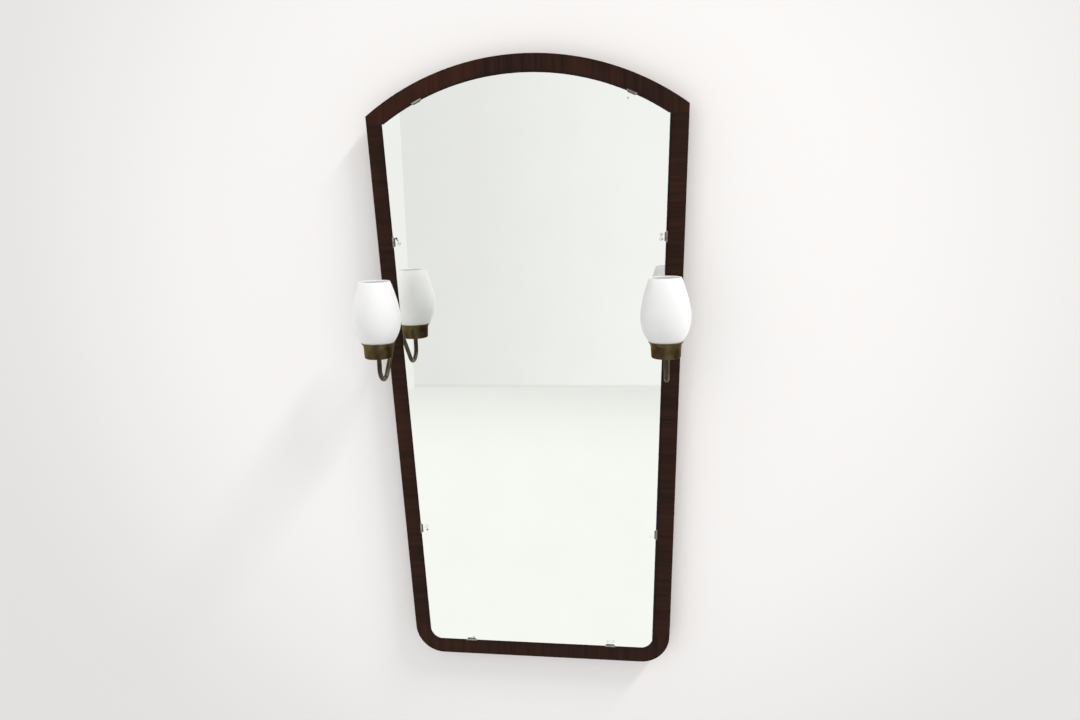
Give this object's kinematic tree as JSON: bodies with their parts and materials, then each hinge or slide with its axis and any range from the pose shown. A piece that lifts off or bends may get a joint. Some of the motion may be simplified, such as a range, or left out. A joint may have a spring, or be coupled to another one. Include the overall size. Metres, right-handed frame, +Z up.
{
  "type": "wall mirror with lamp arms",
  "caption": "Arched wall mirror on a tapering veneered board, its glass held by small clips, with brass lamp arms that carry open opal glass shades at the sides.",
  "frame": {"origin": "on the wall plane, midway between the two hanging holes in the plates on the back", "axes": "+X to the right as seen from the room, +Y into the wall, +Z up"},
  "size_m": [0.575, 0.1985, 1.107],
  "materials": {
    "veneer": "dark red-brown veneer, satin lacquer",
    "core_wood": "bare wood board",
    "batten_wood": "planed softwood",
    "mirror": "silvered plate glass",
    "backing_sheet": "grey-brown board",
    "nickel": "nickel-plated strip",
    "steel": "zinc-plated",
    "brass": "aged brass, satin",
    "lampholder": "black moulded plastic",
    "bulb_cap": "satin",
    "bulb_glass": "frosted",
    "opal_glass": "opal white, satin",
    "lead": "pale sheath",
    "junction_box": "brown moulded plastic",
    "terminal_strip": "glazed"
  },
  "bodies": {
    "root": {"arm_collar_left": "brass", "arm_collar_right": "brass", "arm_left": "brass", "arm_locknut_left": "brass", "arm_locknut_right": "brass", "arm_right": "brass", "arm_washer_left": "brass", "arm_washer_right": "brass", "backboard": "core_wood", "backing_sheet": "backing_sheet", "batten_screws": "steel", "box_screws": "steel", "clip_arch_left": "nickel", "clip_arch_right": "nickel", "clip_bottom_left": "nickel", "clip_bottom_right": "nickel", "clip_lower_left": "nickel", "clip_lower_right": "nickel", "clip_screws": "steel", "clip_upper_left": "nickel", "clip_upper_right": "nickel", "cup_left": "brass", "cup_nut_left": "brass", "cup_nut_right": "brass", "cup_right": "brass", "edge_veneer_arch": "veneer", "edge_veneer_bottom": "veneer", "edge_veneer_left": "veneer", "edge_veneer_right": "veneer", "hanger_left": "steel", "hanger_right": "steel", "hanger_screws": "steel", "junction_box": "junction_box", "junction_lid": "junction_box", "lampholder_left": "lampholder", "lampholder_right": "lampholder", "lead_left": "lead", "lead_right": "lead", "lead_saddles": "steel", "lower_batten": "batten_wood", "mirror_glass": "mirror", "socket_contact_left": "brass", "socket_contact_right": "brass", "socket_shell_left": "brass", "socket_shell_right": "brass", "terminal_strip": "terminal_strip", "upper_batten": "batten_wood", "veneer_arch": "veneer", "veneer_bottom": "veneer", "veneer_left": "veneer", "veneer_right": "veneer"},
    "shade_left_body": {"shade_left": "opal_glass"},
    "bulb_left_body": {"bulb_cap_left": "bulb_cap", "bulb_glass_left": "bulb_glass"},
    "shade_right_body": {"shade_right": "opal_glass"},
    "bulb_right_body": {"bulb_cap_right": "bulb_cap", "bulb_glass_right": "bulb_glass"}
  },
  "joints": [
    {"name": "shade_left_lift", "type": "slide", "parent": "root", "child": "shade_left_body", "axis": [0, 0, 1], "range_m": [0, 0.14]},
    {"name": "bulb_left_lift", "type": "slide", "parent": "root", "child": "bulb_left_body", "axis": [0, 0, 1], "range_m": [0, 0.13]},
    {"name": "shade_right_lift", "type": "slide", "parent": "root", "child": "shade_right_body", "axis": [0, 0, 1], "range_m": [0, 0.14]},
    {"name": "bulb_right_lift", "type": "slide", "parent": "root", "child": "bulb_right_body", "axis": [0, 0, 1], "range_m": [0, 0.13]}
  ]
}
